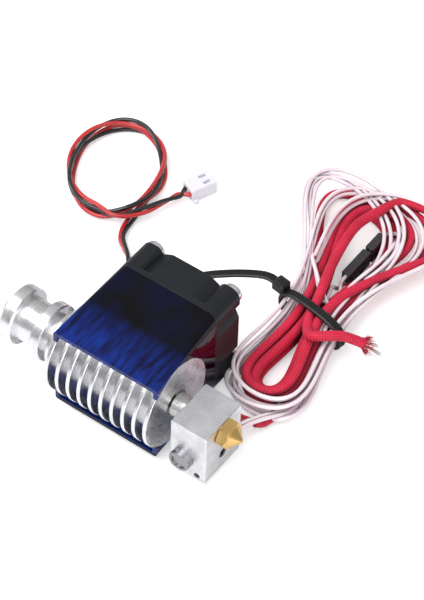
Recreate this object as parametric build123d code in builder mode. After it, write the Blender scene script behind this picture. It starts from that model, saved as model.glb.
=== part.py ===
from build123d import *
from math import cos, pi, radians, sin
import os

# Hotend assembly lying on its side, in millimetres.
# +X runs along the hotend axis from the mounting flange to the nozzle tip,
# +Y points from that axis to the cooling fan, +Z is up from the bench.
# The origin is the centre of the mounting flange's outer face.

os.makedirs("parts", exist_ok=True)

# ---------------------------------------------------------------- driving dimensions
# Heat sink and groove mount
flange_radius = 8.0
groove_radius = 6.0
top_flange_length = 3.7
groove_length = 6.0
lower_flange_length = 3.0
fin_radius = 12.5
fin_pitch = 3.4
fin_thickness = 1.1
large_fins = 10
neck_radius = 5.6
core_radius_cold = 7.3
core_radius_hot = 8.8
mount_length = top_flange_length + groove_length + lower_flange_length
sink_length = mount_length + (large_fins + 1) * fin_pitch

# Filament path
filament_radius = 1.0
liner_radius = 2.0
slide_gap = 0.06
collet_travel = 1.0
collet_ring_length = 1.6
collet_ring_radius = 4.1
collet_cavity_end = 7.2
collet_cavity_radius = 3.3

# Heat break
break_socket_depth = 14.0
break_thread_radius = 3.45
break_collar_radius = 3.3
break_neck_radius = 1.6
break_recess_radius = 3.9
break_recess_depth = 2.2
thread_gap = 0.05
block_thread_radius = 2.95

# Heater block, cartridge, sensor and nozzle
block_gap = 3.75
block_length = 10.8
block_width = 14.8
block_top = 3.4
block_height = 17.2
block_start = sink_length + block_gap
block_end = block_start + block_length
break_end = block_start + 5.45
cartridge_radius = 3.0
cartridge_length = 20.0
cartridge_front = -9.6
cartridge_x = block_start + 4.15
cartridge_z = -7.6
grub_radius = 1.45
grub_z = -8.4
sensor_hole_radius = 0.9
sensor_x = block_start + 8.35
sensor_z = -12.05
nozzle_hex = 7.0
nozzle_hex_start = block_end + 0.3
nozzle_hex_length = 2.65
nozzle_length = 5.15
nozzle_tip_radius = 0.5
orifice_radius = 0.2

# Fan and duct
fan_size = 30.0
fan_depth = 10.0
fan_hole_offset = 12.0
fan_x = 33.84
fan_face = 18.3
fan_back = fan_face + fan_depth
fan_bore_radius = 14.2
fan_barrel_radius = 16.0
fan_flange_thickness = 1.4
fan_hub_radius = 8.0
fan_hub_plate = 1.2
blade_count = 7
blade_tip_radius = 13.3
shaft_radius = 0.75
duct_near_y = -8.4
duct_near_length = 31.9
duct_near_height = 25.6
duct_near_x = 34.52
duct_wall = 1.2
duct_saddle_radius = fin_radius + 0.06
screw_radius = 1.45
screw_head_radius = 2.7
screw_head_height = 1.9
screw_length = 15.6
boss_radius = 2.3

# Cables, all resting on the bench plane
bench = -fan_size / 2
fan_wire_radius = 0.6
fan_pair_gap = 0.63
sleeve_radius = 1.35
sensor_wire_radius = 0.55
sensor_pair_gap = 0.6
heater_wire_radius = 0.5
waist_x = 57.0
waist_y = 50.3
skein_lift = 1.2
layer_step = 2.75
tie_width = 2.5
tie_thickness = 1.0
tie_tilt = -9.0


# ---------------------------------------------------------------- shared helpers
def rim(start, end, radius, edge):
    """Profile points of a disc rim with small chamfers, going along +X."""
    return [(start, radius - edge), (start + edge, radius), (end - edge, radius), (end, radius - edge)]


def core_radius(x):
    """Radius of the sink's core, which grows from the cold end to the hot end."""
    share = (x - mount_length) / (sink_length - mount_length)
    return core_radius_cold + (core_radius_hot - core_radius_cold) * share


def turned(points):
    """Solid of revolution about the hotend axis from a closed (x, radius) outline."""
    with BuildPart() as solid:
        with BuildSketch(Plane.XY):
            with BuildLine():
                Polyline(*points, close=True)
            make_face()
        revolve(axis=Axis.X)
    return solid.part


def turned_about_fan(points):
    """Solid of revolution about the fan axis from a closed (radius, height above the face) outline."""
    fan_section = Plane(origin=(fan_x, fan_face, 0), x_dir=(1, 0, 0), z_dir=(0, 0, 1))
    with BuildPart() as solid:
        with BuildSketch(fan_section):
            with BuildLine():
                Polyline(*points, close=True)
            make_face()
        revolve(axis=Axis((fan_x, fan_face, 0), (0, 1, 0)))
    return solid.part


def round_cable(points, radius):
    """Round cable swept along a smooth curve through the points."""
    with BuildPart() as cable:
        with BuildLine() as path:
            Spline(*points)
        with BuildSketch(Plane(origin=path.line @ 0, z_dir=path.line % 0)):
            Circle(radius)
        sweep(is_frenet=True)
    return cable.part


def bent_cable(corners, bends, radius):
    """Cable of straight runs and arcs through bent corners, its skin joined into one solid."""
    path = FilletPolyline(*corners, radius=bends)
    skin = []
    ends = ShapeList()
    for run in path.edges():
        with BuildPart() as stretch:
            with BuildLine():
                add(run)
            with BuildSketch(Plane(origin=run @ 0, z_dir=run % 0)):
                Circle(radius)
            sweep()
        ends += stretch.faces().filter_by(GeomType.PLANE)
        skin += stretch.faces().filter_by(GeomType.PLANE, reverse=True)
    skin += ends.sort_by_distance(path @ 0)[:1]
    skin += ends.sort_by_distance(path @ 1)[:1]
    return Solid(Shell(skin))


def wire_pair(points, gap, spacing, pitch):
    """Points of two wires that twist round a centre curve."""
    centre = Spline(*points)
    count = round(centre.length / spacing)
    twists = round(centre.length / pitch)
    left = []
    right = []
    for step in range(count + 1):
        share = step / count
        place = centre @ share
        along = centre % share
        side = Vector(-along.Y, along.X, 0).normalized()
        over = along.cross(side)
        turn = 2 * pi * share * twists
        shift = (side * cos(turn) + over * sin(turn)) * gap
        left.append(place + shift)
        right.append(place - shift)
    return left, right


def save(part, name):
    """Label a finished piece and write its STEP file."""
    part.label = name
    export_step(part, f"parts/{name}.step")


# ---------------------------------------------------------------- heat sink
sink_outline = [(0, collet_ring_radius)]
sink_outline += rim(0, top_flange_length, flange_radius, 0.4)
sink_outline += [(top_flange_length, groove_radius), (top_flange_length + groove_length, groove_radius)]
sink_outline += rim(top_flange_length + groove_length, mount_length, flange_radius, 0.3)
sink_outline += [(mount_length, neck_radius)]
for fin in range(large_fins + 1):
    fin_end = mount_length + (fin + 1) * fin_pitch
    fin_start = fin_end - fin_thickness
    outer_radius = flange_radius if fin == 0 else fin_radius
    root_radius = neck_radius if fin == 0 else core_radius(fin_start)
    sink_outline += [(fin_start, root_radius)]
    sink_outline += rim(fin_start, fin_end, outer_radius, 0.15)
    if fin < large_fins:
        sink_outline += [(fin_end, core_radius(fin_end))]
sink_outline += [
    (sink_length, break_recess_radius),
    (sink_length - break_recess_depth, break_recess_radius),
    (sink_length - break_recess_depth, break_thread_radius + thread_gap),
    (sink_length - break_socket_depth, break_thread_radius + thread_gap),
    (sink_length - break_socket_depth, liner_radius + slide_gap),
    (collet_cavity_end, liner_radius + slide_gap),
    (collet_cavity_end, collet_cavity_radius),
    (collet_ring_length, collet_cavity_radius),
    (collet_ring_length, collet_ring_radius),
]
heat_sink = turned(sink_outline)
save(heat_sink, "heat_sink")

# ---------------------------------------------------------------- tube collet in the flange
collet_body_radius = 2.6
collet_bore_radius = liner_radius + slide_gap
collet_head_radius = 3.7
collet_head_length = 1.2
collet_lip_radius = 3.0
collet_lip_start = 2.9
collet_end = 4.4
collet_slot_width = 0.6
collet_slots = 4

collet_ring = turned([
    (0, collet_body_radius + thread_gap),
    (0, collet_ring_radius),
    (collet_ring_length, collet_ring_radius),
    (collet_ring_length, collet_body_radius + thread_gap),
])
save(collet_ring, "collet_ring")

collet_head_back = -collet_travel - slide_gap
with BuildPart() as collet:
    with BuildSketch(Plane.XY):
        with BuildLine():
            Polyline(
                (collet_head_back - collet_head_length, collet_bore_radius + 0.3),
                (collet_head_back - collet_head_length, collet_head_radius - 0.3),
                (collet_head_back - collet_head_length + 0.3, collet_head_radius),
                (collet_head_back, collet_head_radius),
                (collet_head_back, collet_body_radius),
                (collet_lip_start, collet_body_radius),
                (collet_lip_start, collet_lip_radius),
                (collet_end, collet_body_radius),
                (collet_end, collet_bore_radius),
                (collet_head_back - collet_head_length + 0.3, collet_bore_radius),
                close=True,
            )
        make_face()
    revolve(axis=Axis.X)
    with BuildSketch(Plane.YZ.offset(1.0)):
        with PolarLocations(collet_lip_radius / 2 + 0.7, collet_slots):
            Rectangle(collet_lip_radius, collet_slot_width)
    extrude(amount=collet_end, mode=Mode.SUBTRACT)
save(collet.part, "collet")

# ---------------------------------------------------------------- liner tube
liner_start = 0.3
liner_end = sink_length - break_socket_depth + 4.7
ptfe_liner = turned([
    (liner_start, filament_radius),
    (liner_start, liner_radius - 0.2),
    (liner_start + 0.2, liner_radius),
    (liner_end, liner_radius),
    (liner_end, filament_radius),
])
save(ptfe_liner, "ptfe_liner")

# ---------------------------------------------------------------- heat break
break_start = sink_length - break_socket_depth + 0.2
break_neck_start = sink_length - break_recess_depth - 0.05
break_collar_start = sink_length + 0.15
heat_break = turned([
    (break_start, liner_radius + slide_gap),
    (break_start, break_thread_radius - 0.4),
    (break_start + 0.4, break_thread_radius),
    (break_neck_start, break_thread_radius),
    (break_neck_start, break_neck_radius),
    (break_collar_start, break_neck_radius),
    (break_collar_start, break_collar_radius - 0.2),
    (break_collar_start + 0.2, break_collar_radius),
    (block_start, break_collar_radius),
    (block_start, block_thread_radius),
    (break_end, block_thread_radius),
    (break_end, filament_radius),
    (liner_end + 0.2, filament_radius),
    (liner_end + 0.2, liner_radius + slide_gap),
])
save(heat_break, "heat_break")

# ---------------------------------------------------------------- heater block
block_edge = 0.25
with BuildPart() as heater_block:
    with BuildSketch(Plane.YZ.offset(block_start)):
        with Locations((0, block_top - block_height / 2)):
            Rectangle(block_width, block_height)
    extrude(amount=block_length)
    chamfer(heater_block.edges(), length=block_edge)
    with BuildSketch(Plane.YZ.offset(block_start)):
        Circle(block_thread_radius + thread_gap)
    extrude(amount=block_length, mode=Mode.SUBTRACT)
    with BuildSketch(Plane.XZ.offset(-block_width / 2)):
        with Locations((cartridge_x, cartridge_z)):
            Circle(cartridge_radius + thread_gap)
        with Locations((sensor_x, sensor_z)):
            Circle(sensor_hole_radius)
    extrude(amount=block_width, mode=Mode.SUBTRACT)
    with BuildSketch(Plane.YZ.offset(block_end)):
        with Locations((0, grub_z)):
            Circle(grub_radius + thread_gap)
    extrude(amount=cartridge_x - block_end, mode=Mode.SUBTRACT)
save(heater_block.part, "heater_block")

# ---------------------------------------------------------------- nozzle
nozzle_hex_end = nozzle_hex_start + nozzle_hex_length
nozzle_tip = nozzle_hex_start + nozzle_length
nozzle_cone_radius = 3.0
nozzle_chamber_end = nozzle_tip - 1.6
with BuildPart() as nozzle:
    with BuildSketch(Plane.YZ.offset(nozzle_hex_start)):
        RegularPolygon(nozzle_hex / 2, 6, major_radius=False)
    extrude(amount=nozzle_hex_length)
    with BuildSketch(Plane.XY):
        with BuildLine():
            Polyline(
                (nozzle_hex_start, 0),
                (nozzle_hex_start, nozzle_hex / 2 + 0.2),
                (nozzle_hex_start + 0.35, nozzle_hex),
                (nozzle_hex_end - 0.6, nozzle_hex / 2 + 0.55),
                (nozzle_hex_end, nozzle_hex / 2),
                (nozzle_hex_end, 0),
                close=True,
            )
        make_face()
    revolve(axis=Axis.X, mode=Mode.INTERSECT)
    with BuildSketch(Plane.XY):
        with BuildLine():
            Polyline(
                (break_end + 0.05, 0),
                (break_end + 0.05, block_thread_radius - 0.3),
                (break_end + 0.35, block_thread_radius),
                (nozzle_hex_start, block_thread_radius),
                (nozzle_hex_end, nozzle_cone_radius),
                (nozzle_tip, nozzle_tip_radius),
                (nozzle_tip, 0),
                close=True,
            )
        make_face()
    revolve(axis=Axis.X)
    with BuildSketch(Plane.XY):
        with BuildLine():
            Polyline(
                (break_end, 0),
                (break_end, filament_radius),
                (nozzle_chamber_end, filament_radius),
                (nozzle_chamber_end + 0.9, orifice_radius),
                (nozzle_tip, orifice_radius),
                (nozzle_tip, 0),
                close=True,
            )
        make_face()
    revolve(axis=Axis.X, mode=Mode.SUBTRACT)
save(nozzle.part, "nozzle")

# ---------------------------------------------------------------- heater cartridge and its clamp screw
cartridge_back = cartridge_front + cartridge_length
heater_wire_offset = 0.9
with BuildPart() as heater_cartridge:
    with BuildSketch(Plane.XZ.offset(-cartridge_front)):
        with Locations((cartridge_x, cartridge_z)):
            Circle(cartridge_radius)
    extrude(amount=-cartridge_length)
    fillet(heater_cartridge.edges().filter_by(GeomType.CIRCLE), radius=0.35)
    with BuildSketch(Plane.XZ.offset(-cartridge_front)):
        with Locations((cartridge_x, cartridge_z)):
            Circle(cartridge_radius - 0.9)
    extrude(amount=-0.4, mode=Mode.SUBTRACT)
    with BuildSketch(Plane.XZ.offset(-cartridge_back)):
        with Locations((cartridge_x, cartridge_z)):
            with GridLocations(2 * heater_wire_offset, 1, 2, 1):
                Circle(heater_wire_radius + 0.1)
    extrude(amount=1.5, mode=Mode.SUBTRACT)
save(heater_cartridge.part, "heater_cartridge")

grub_start = block_end - 3.55
grub_end = block_end - 0.2
grub_socket = 1.5
with BuildPart() as heater_grub_screw:
    with BuildSketch(Plane.YZ.offset(grub_start)):
        with Locations((0, grub_z)):
            Circle(grub_radius)
    extrude(amount=grub_end - grub_start)
    chamfer(heater_grub_screw.edges().filter_by(GeomType.CIRCLE), length=0.2)
    with BuildSketch(Plane.YZ.offset(grub_end)):
        with Locations((0, grub_z)):
            RegularPolygon(grub_socket / 2, 6, major_radius=False)
    extrude(amount=-1.6, mode=Mode.SUBTRACT)
save(heater_grub_screw.part, "heater_grub_screw")

# ---------------------------------------------------------------- thermistor bead on its two bare legs
bead_radius = 0.75
bead_half_length = 1.6
leg_radius = 0.15
leg_end = block_width / 2 + 1.4
with BuildPart() as thermistor_bead:
    with Locations((sensor_x, 0, sensor_z)):
        Cylinder(bead_radius, 2 * bead_half_length, rotation=(90, 0, 0))
    fillet(thermistor_bead.edges().filter_by(GeomType.CIRCLE), radius=bead_radius * 0.6)
    with BuildSketch(Plane.XZ):
        with Locations((sensor_x - 0.3, sensor_z), (sensor_x + 0.3, sensor_z)):
            Circle(leg_radius)
    extrude(amount=-leg_end)
save(thermistor_bead.part, "thermistor_bead")

# ---------------------------------------------------------------- fan duct
boss_start = fan_face - 6.3
near_plane = Plane(origin=(duct_near_x, duct_near_y, 0), x_dir=(1, 0, 0), z_dir=(0, 1, 0))
far_plane = Plane(origin=(fan_x, fan_face, 0), x_dir=(1, 0, 0), z_dir=(0, 1, 0))
with BuildPart() as fan_duct:
    with BuildSketch(near_plane):
        RectangleRounded(duct_near_length, duct_near_height, 0.8)
    with BuildSketch(far_plane):
        RectangleRounded(fan_size, fan_size, 3.0)
    loft()
    with BuildSketch(near_plane):
        RectangleRounded(duct_near_length - 2 * duct_wall, duct_near_height - 2 * duct_wall, 0.4)
    with BuildSketch(far_plane):
        RectangleRounded(fan_size - 2 * duct_wall, fan_size - 2 * duct_wall, 1.8)
    loft(mode=Mode.SUBTRACT)
    with BuildSketch(far_plane.offset(boss_start - fan_face)):
        with GridLocations(2 * fan_hole_offset, 2 * fan_hole_offset, 2, 2):
            Circle(boss_radius)
    extrude(amount=fan_face - boss_start)
    with BuildSketch(far_plane):
        with GridLocations(2 * fan_hole_offset, 2 * fan_hole_offset, 2, 2):
            Circle(screw_radius + thread_gap)
    extrude(amount=boss_start + 0.4 - fan_face, mode=Mode.SUBTRACT)
    with BuildSketch(Plane.YZ.offset(duct_near_x - duct_near_length)):
        Circle(duct_saddle_radius)
    extrude(amount=2 * duct_near_length, mode=Mode.SUBTRACT)
save(fan_duct.part, "fan_duct")

# ---------------------------------------------------------------- fan frame
bearing_tube_radius = 2.2
bearing_radius = 1.55
clip_pocket_radius = 1.35
bearing_start = 1.7
bearing_end = 7.5
strut_count = 4
strut_width = 2.2
with BuildPart() as fan_frame:
    with BuildSketch(far_plane):
        RectangleRounded(fan_size, fan_size, 3.0)
    extrude(amount=fan_flange_thickness)
    with BuildSketch(far_plane):
        Circle(fan_barrel_radius)
        RectangleRounded(fan_size, fan_size, 3.0, mode=Mode.INTERSECT)
    extrude(amount=fan_depth)
    with BuildSketch(far_plane):
        with GridLocations(2 * fan_hole_offset, 2 * fan_hole_offset, 2, 2):
            Circle(3.4)
        RectangleRounded(fan_size, fan_size, 3.0, mode=Mode.INTERSECT)
    extrude(amount=fan_depth)
    with BuildSketch(far_plane):
        Circle(fan_bore_radius)
        with GridLocations(2 * fan_hole_offset, 2 * fan_hole_offset, 2, 2):
            Circle(screw_radius + 0.15)
    extrude(amount=fan_depth, mode=Mode.SUBTRACT)
    with BuildSketch(far_plane):
        Circle(fan_hub_radius)
        with PolarLocations(0, strut_count, start_angle=45):
            with Locations((fan_bore_radius / 2 + 0.3, 0)):
                Rectangle(fan_bore_radius, strut_width)
    extrude(amount=fan_hub_plate)
    with BuildSketch(far_plane):
        Circle(bearing_tube_radius)
    extrude(amount=bearing_end)
    with BuildSketch(far_plane):
        Circle(clip_pocket_radius)
    extrude(amount=bearing_start, mode=Mode.SUBTRACT)
    with BuildSketch(far_plane.offset(bearing_start)):
        Circle(bearing_radius)
    extrude(amount=bearing_end, mode=Mode.SUBTRACT)
save(fan_frame.part, "fan_frame")

# ---------------------------------------------------------------- fan bearing, shaft and retaining ring
fan_bearing = turned_about_fan([
    (shaft_radius + 0.04, bearing_start),
    (bearing_radius, bearing_start),
    (bearing_radius, bearing_end),
    (shaft_radius + 0.04, bearing_end),
])
save(fan_bearing, "fan_bearing")

shaft_start = 0.5
shaft_end = 9.0
fan_shaft = turned_about_fan([
    (0, shaft_start),
    (shaft_radius - 0.15, shaft_start),
    (shaft_radius, shaft_start + 0.15),
    (shaft_radius, shaft_end),
    (0, shaft_end),
])
save(fan_shaft, "fan_shaft")

clip_start = 0.9
clip_end = 1.2
fan_retaining_ring = turned_about_fan([
    (shaft_radius, clip_start),
    (clip_pocket_radius - 0.15, clip_start),
    (clip_pocket_radius - 0.15, clip_end),
    (shaft_radius, clip_end),
])
save(fan_retaining_ring, "fan_retaining_ring")

# ---------------------------------------------------------------- fan rotor
hub_start = 2.6
hub_end = 9.6
hub_wall = 0.7
blade_root_radius = fan_hub_radius - 0.5
blade_middle = 5.9
blade_chord = 8.0
blade_thickness = 0.75
hub_section = Plane(origin=(fan_x, fan_face, 0), x_dir=(1, 0, 0), z_dir=(0, 0, 1))
fan_axis = Axis((fan_x, fan_face, 0), (0, 1, 0))
with BuildPart() as fan_blade:
    with BuildSketch(Plane(origin=(blade_root_radius, 0, blade_middle), x_dir=(0, 1, 0), z_dir=(1, 0, 0))):
        SlotOverall(blade_chord - 0.6, blade_thickness, rotation=48)
    with BuildSketch(Plane(origin=(blade_tip_radius, 0, blade_middle), x_dir=(0, 1, 0), z_dir=(1, 0, 0))):
        SlotOverall(blade_chord, blade_thickness, rotation=32)
    loft()
with BuildPart(far_plane) as fan_impeller:
    with BuildSketch(hub_section):
        with BuildLine():
            Polyline(
                (shaft_radius, shaft_end - 1.3),
                (shaft_radius + 0.9, shaft_end - 1.3),
                (shaft_radius + 0.9, hub_end - hub_wall),
                (fan_hub_radius - hub_wall, hub_end - hub_wall),
                (fan_hub_radius - hub_wall, hub_start),
                (fan_hub_radius, hub_start),
                (fan_hub_radius, hub_end - 0.4),
                (fan_hub_radius - 0.4, hub_end),
                (0, hub_end),
                (0, shaft_end),
                (shaft_radius, shaft_end),
                close=True,
            )
        make_face()
    revolve(axis=fan_axis)
    with PolarLocations(0, blade_count):
        add(fan_blade.part)
save(fan_impeller.part, "fan_impeller")

magnet_inner_radius = 6.6
fan_magnet_ring = turned_about_fan([
    (magnet_inner_radius, hub_start + 0.2),
    (fan_hub_radius - hub_wall, hub_start + 0.2),
    (fan_hub_radius - hub_wall, hub_end - hub_wall - 0.6),
    (magnet_inner_radius, hub_end - hub_wall - 0.6),
])
save(fan_magnet_ring, "fan_magnet_ring")

# ---------------------------------------------------------------- fan motor windings and circuit board
stator_start = 3.4
stator_height = 3.0
stator_poles = 4
pole_width = 1.5
pole_radius = 6.1
with BuildPart() as fan_stator:
    with BuildSketch(far_plane.offset(stator_start)):
        Circle(bearing_tube_radius + 1.2)
        with PolarLocations(pole_radius / 2, stator_poles):
            Rectangle(pole_radius, pole_width)
        with PolarLocations(pole_radius - 0.45, stator_poles):
            Rectangle(0.9, 4.2)
        Circle(bearing_tube_radius, mode=Mode.SUBTRACT)
    extrude(amount=stator_height)
save(fan_stator.part, "fan_stator")

coil_inner = 3.75
coil_length = 1.3
coil_wall = 0.7
with BuildPart() as fan_coils:
    with BuildSketch(far_plane.offset(stator_start - coil_wall)):
        with PolarLocations(coil_inner + coil_length / 2, stator_poles):
            Rectangle(coil_length, pole_width + 2 * coil_wall)
    extrude(amount=stator_height + 2 * coil_wall)
    with BuildSketch(far_plane.offset(stator_start - 0.03)):
        with PolarLocations(coil_inner + coil_length / 2, stator_poles):
            Rectangle(coil_length, pole_width + 0.06)
    extrude(amount=stator_height + 0.06, mode=Mode.SUBTRACT)
save(fan_coils.part, "fan_coils")

board_radius = 6.4
board_thickness = 0.8
with BuildPart() as fan_circuit_board:
    with BuildSketch(far_plane.offset(fan_hub_plate)):
        Circle(board_radius)
        Circle(bearing_tube_radius, mode=Mode.SUBTRACT)
    extrude(amount=board_thickness)
    with BuildSketch(far_plane.offset(fan_hub_plate + board_thickness)):
        with Locations((4.6, 1.6)):
            Rectangle(1.6, 1.2)
    extrude(amount=0.5)
save(fan_circuit_board.part, "fan_circuit_board")

with BuildPart() as fan_hub_label:
    with BuildSketch(far_plane):
        Circle(fan_hub_radius - 0.5)
    extrude(amount=-0.1)
save(fan_hub_label.part, "fan_hub_label")

# ---------------------------------------------------------------- four fan screws
back_plane = far_plane.offset(fan_depth)
with BuildPart() as fan_screws:
    with BuildSketch(back_plane):
        with GridLocations(2 * fan_hole_offset, 2 * fan_hole_offset, 2, 2):
            Circle(screw_head_radius)
    extrude(amount=screw_head_height)
    top_edges = fan_screws.edges().filter_by(GeomType.CIRCLE).group_by(Axis.Y)[-1]
    fillet(top_edges, radius=0.9)
    with BuildSketch(back_plane):
        with GridLocations(2 * fan_hole_offset, 2 * fan_hole_offset, 2, 2):
            Circle(screw_radius)
    extrude(amount=-screw_length)
    with BuildSketch(back_plane.offset(screw_head_height)):
        with GridLocations(2 * fan_hole_offset, 2 * fan_hole_offset, 2, 2):
            Rectangle(2.8, 0.6)
            Rectangle(0.6, 2.8)
    extrude(amount=-1.0, mode=Mode.SUBTRACT)
save(fan_screws.part, "fan_screws")

# ---------------------------------------------------------------- fan lead: a twisted pair in a two-turn coil
coil_x = -18.5
coil_y = 65.8
coil_long = 17.2
coil_short = 12.6
coil_angle = radians(115.5)
pair_reach = fan_pair_gap + fan_wire_radius
lower_level = bench + pair_reach + 0.05
upper_level = lower_level + 2 * pair_reach + 0.1


def coil_point(angle, height):
    """Point of the oval coil at an angle from its far end, at a height."""
    along = coil_long * cos(angle)
    across = coil_short * sin(angle)
    x = coil_x + along * cos(coil_angle) + across * sin(coil_angle)
    y = coil_y + along * sin(coil_angle) - across * cos(coil_angle)
    return (x, y, height)


plug_angle = radians(67.8)
plug_x = 2.3
plug_y = 70.4
plug_length = 7.8
plug_width = 5.4
plug_height = 4.4
plug_z = bench + 0.05 + plug_height / 2
plug_pitch = 2.5

coil_steps = 15
coil_start = radians(130)
coil_span = radians(660)
climb_start = 0.44
climb_share = 0.10
lead_centre = [
    (fan_x - fan_size / 2 - 0.1, fan_back - 3.0, -9.0),
    (11.0, 34.0, lower_level + 0.8),
    (3.6, 41.8, lower_level),
    (-2.9, 47.6, lower_level),
]
for step in range(2 * coil_steps + 1):
    share = step / (2 * coil_steps)
    climb = min(max((share - climb_start) / climb_share, 0), 1)
    level = lower_level + (upper_level - lower_level) * climb * climb * (3 - 2 * climb)
    lead_centre.append(coil_point(coil_start - coil_span * share, level))
lead_centre += [
    (-6.6, 50.2, upper_level),
    (-2.2, 56.0, upper_level),
    (-0.6, 62.5, plug_z + 0.3),
    (plug_x - 1.6 * cos(plug_angle), plug_y - 1.6 * sin(plug_angle), plug_z),
]
pair_spacing = 3.6
pair_pitch = 30.0
black_points, red_points = wire_pair(lead_centre, fan_pair_gap, pair_spacing, pair_pitch)


def plug_entry(side):
    """Last stretch of a wire, straight into its side of the plug."""
    across = side * plug_pitch / 2
    points = []
    for depth in (-0.2, 1.2):
        x = plug_x + depth * cos(plug_angle) - across * sin(plug_angle)
        y = plug_y + depth * sin(plug_angle) + across * cos(plug_angle)
        points.append((x, y, plug_z))
    return points


fan_lead_red = round_cable(red_points[:-2] + plug_entry(-1), fan_wire_radius)
save(fan_lead_red, "fan_lead_red")
fan_lead_black = round_cable(black_points[:-2] + plug_entry(1), fan_wire_radius)
save(fan_lead_black, "fan_lead_black")

# ---------------------------------------------------------------- fan plug
plug_axis = (cos(plug_angle), sin(plug_angle), 0)
plug_side = (-sin(plug_angle), cos(plug_angle), 0)
plug_plane = Plane(origin=(plug_x, plug_y, plug_z), x_dir=plug_side, z_dir=plug_axis)
with BuildPart() as fan_plug_housing:
    with BuildSketch(plug_plane):
        Rectangle(plug_width, plug_height)
    extrude(amount=plug_length)
    fillet(fan_plug_housing.edges(), radius=0.3)
    with BuildSketch(plug_plane.offset(0.1)):
        with Locations((-plug_width / 2, -plug_height / 2 + 0.6)):
            Rectangle(2.0, 1.1)
    extrude(amount=1.4)
    with BuildSketch(plug_plane):
        with GridLocations(plug_pitch, 1, 2, 1):
            Rectangle(1.6, 1.6)
    extrude(amount=plug_length, mode=Mode.SUBTRACT)
    with BuildSketch(plug_plane.offset(plug_length - 3.6)):
        with Locations((0, plug_height / 2)):
            with GridLocations(plug_pitch, 1, 2, 1):
                Rectangle(1.1, plug_height / 2)
    extrude(amount=2.2, mode=Mode.SUBTRACT)
save(fan_plug_housing.part, "fan_plug_housing")

with BuildPart() as fan_plug_contacts:
    with BuildSketch(plug_plane.offset(1.9)):
        with GridLocations(plug_pitch, 1, 2, 1):
            Rectangle(1.4, 1.4)
            Rectangle(0.9, 0.9, mode=Mode.SUBTRACT)
    extrude(amount=5.2)
save(fan_plug_contacts.part, "fan_plug_contacts")


# ---------------------------------------------------------------- skein of heater and sensor cables
def skein_corner(turn, corner, height):
    """Corner of one loop of the skein: two lobes pinched at the waist, larger for outer turns.

    Corners run anticlockwise from the lower right, past the waist and round the upper lobe.
    """
    side = 1.0 + loop_pitch * turn
    low_right = 5.4 + loop_pitch * turn
    low_left = 3.2 + loop_pitch * turn
    low_reach = 24.0 + loop_pitch * turn
    high_wide = 11.0 + loop_pitch * turn
    high_reach = 43.0 + loop_pitch * turn
    outline = [
        (low_right, -low_reach),
        (low_right + 1.2, -0.42 * low_reach),
        (side, 0),
        (high_wide, 0.42 * high_reach),
        (high_wide, 0.80 * high_reach),
        (high_wide / 2, high_reach),
        (-high_wide / 2, high_reach),
        (-high_wide, 0.80 * high_reach),
        (-high_wide, 0.42 * high_reach),
        (-side, 0),
        (-low_left, -0.42 * low_reach),
        (-low_left, -low_reach),
    ]
    across, away = outline[corner % loop_corners]
    return (waist_x - 0.125 * away - 0.0007 * away**2 + across, waist_y + away, height)


def skein_bend(turn, corner):
    """Bend radius at the same corner."""
    lobe_end = 3.6 + 2.6 * turn
    crown = 6.5 + 2.0 * turn
    half_loop = [lobe_end, 12, 16, 16, 12, crown]
    return (half_loop + half_loop[::-1])[corner % loop_corners]


loops_per_layer = 2
loop_corners = 12
loop_pitch = 2.85
layer_corners = loops_per_layer * loop_corners
layer_one = bench + skein_lift + sleeve_radius
layer_two = layer_one + layer_step
layer_three = layer_two + sleeve_radius + sensor_wire_radius + 0.1

sleeve_start = (63.6, 15.2, layer_one)
sleeve_corners = [sleeve_start]
sleeve_bends = []
for corner in range(layer_corners):
    turn = loops_per_layer - corner / loop_corners
    sleeve_corners.append(skein_corner(turn, corner, layer_one))
    sleeve_bends.append(skein_bend(turn, corner))
for corner in range(layer_corners + 1):
    turn = corner / loop_corners
    level = layer_two if corner else layer_one
    sleeve_corners.append(skein_corner(turn, corner, level))
    sleeve_bends.append(skein_bend(turn, corner))
tail_corner = Vector(69.6, 41.0, layer_two)
tail_end = Vector(72.0, 50.2, layer_one + 0.6)
tail_bend = 12
sleeve_corners += [tail_corner, tail_end]
sleeve_bends.append(tail_bend)
heater_sleeve = bent_cable(sleeve_corners, sleeve_bends, sleeve_radius)
save(heater_sleeve, "heater_sleeve")

tail_direction = (tail_end - tail_corner).normalized()
tips_centre = Vector(76.4, 55.1, bench + heater_wire_radius + 0.1)
tips_spread = Vector(-1.5, 1.2, 0)
with BuildPart() as heater_lead_ends:
    for side in (-1, 1):
        start = tail_end + tail_direction * 0.1 + Vector(-side * 0.6, side * 0.1, 0)
        with BuildLine() as tip_path:
            Spline(
                start,
                start + tail_direction * 2.5,
                tips_centre + tips_spread * side,
            )
        with BuildSketch(Plane(origin=tip_path.line @ 0, z_dir=tip_path.line % 0)):
            Circle(heater_wire_radius)
        sweep(path=tip_path.line)
save(heater_lead_ends.part, "heater_lead_ends")

# Heater leads from the cartridge into the braided sleeve
heater_exit = cartridge_back - 1.3
with BuildPart() as heater_leads:
    for side in (-1, 1):
        exit_x = cartridge_x + side * heater_wire_offset
        with BuildLine() as heater_path:
            Spline(
                (exit_x, heater_exit, cartridge_z),
                (exit_x + 0.1, cartridge_back + 0.8, cartridge_z - 0.2),
                (61.2 + side * 0.7, 13.6 - side * 0.5, -11.2),
                (63.4 + side * 0.45, 15.0 - side * 0.3, layer_one),
            )
        with BuildSketch(Plane(origin=heater_path.line @ 0, z_dir=heater_path.line % 0)):
            Circle(heater_wire_radius)
        sweep(path=heater_path.line)
save(heater_leads.part, "heater_leads")

# Sensor leads: a flat pair on top of the sleeve loops, ending in the connector
connector_x = 55.0
connector_start = 69.2
connector_length = 10.4
connector_width = 2.54
connector_height = 5.08
connector_z = bench + 0.05 + connector_height / 2
mate_length = 6.5
mate_gap = 1.0


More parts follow.
